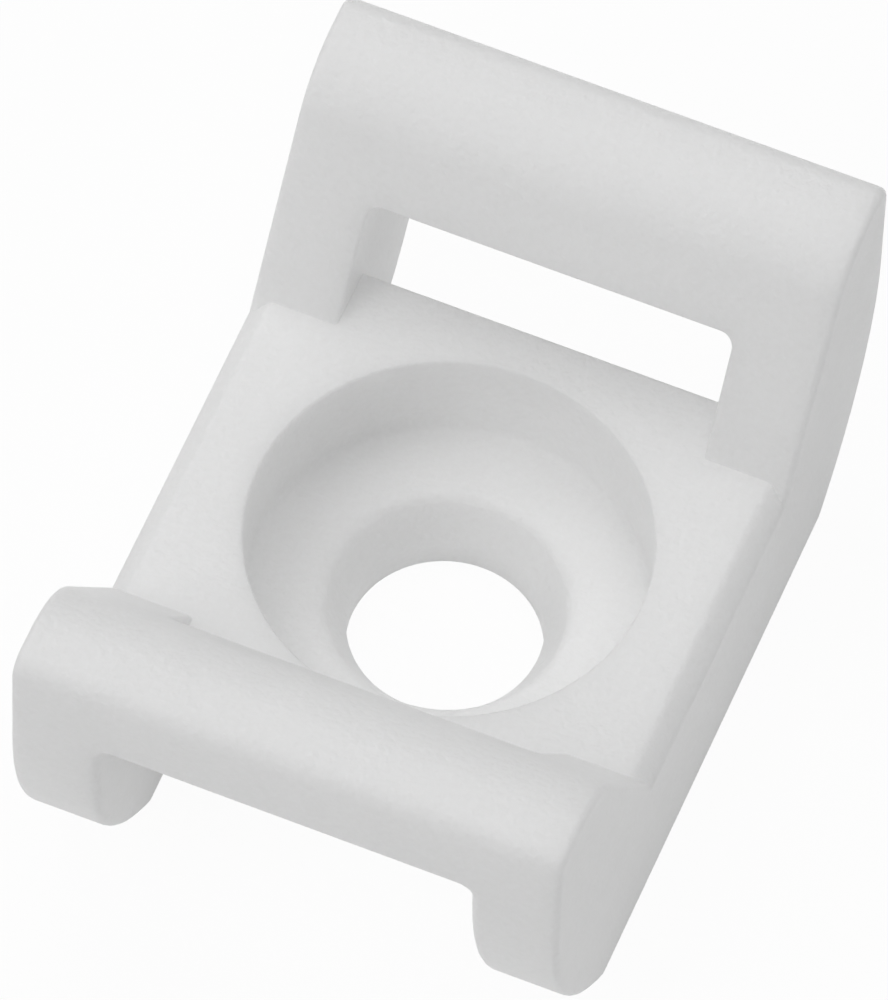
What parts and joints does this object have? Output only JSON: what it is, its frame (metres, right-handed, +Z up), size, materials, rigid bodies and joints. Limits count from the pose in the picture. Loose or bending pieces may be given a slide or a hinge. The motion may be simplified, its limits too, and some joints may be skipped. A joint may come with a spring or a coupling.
{
  "type": "cable tie mount",
  "caption": "Screw-down cable tie mount: a cradle for the bundle between two raised end bars that the tie passes under, and a recessed seat for the fixing screw.",
  "frame": {"origin": "centre of the flat base, on the axis of the screw hole", "axes": "+X across the mount, along the end bars; +Y along the mount, the way the tie runs; +Z up, away from the surface it is screwed to"},
  "size_m": [0.016, 0.0238, 0.012],
  "materials": {
    "body": "satin"
  },
  "bodies": {
    "root": {"tie_mount": "body"}
  },
  "joints": []
}
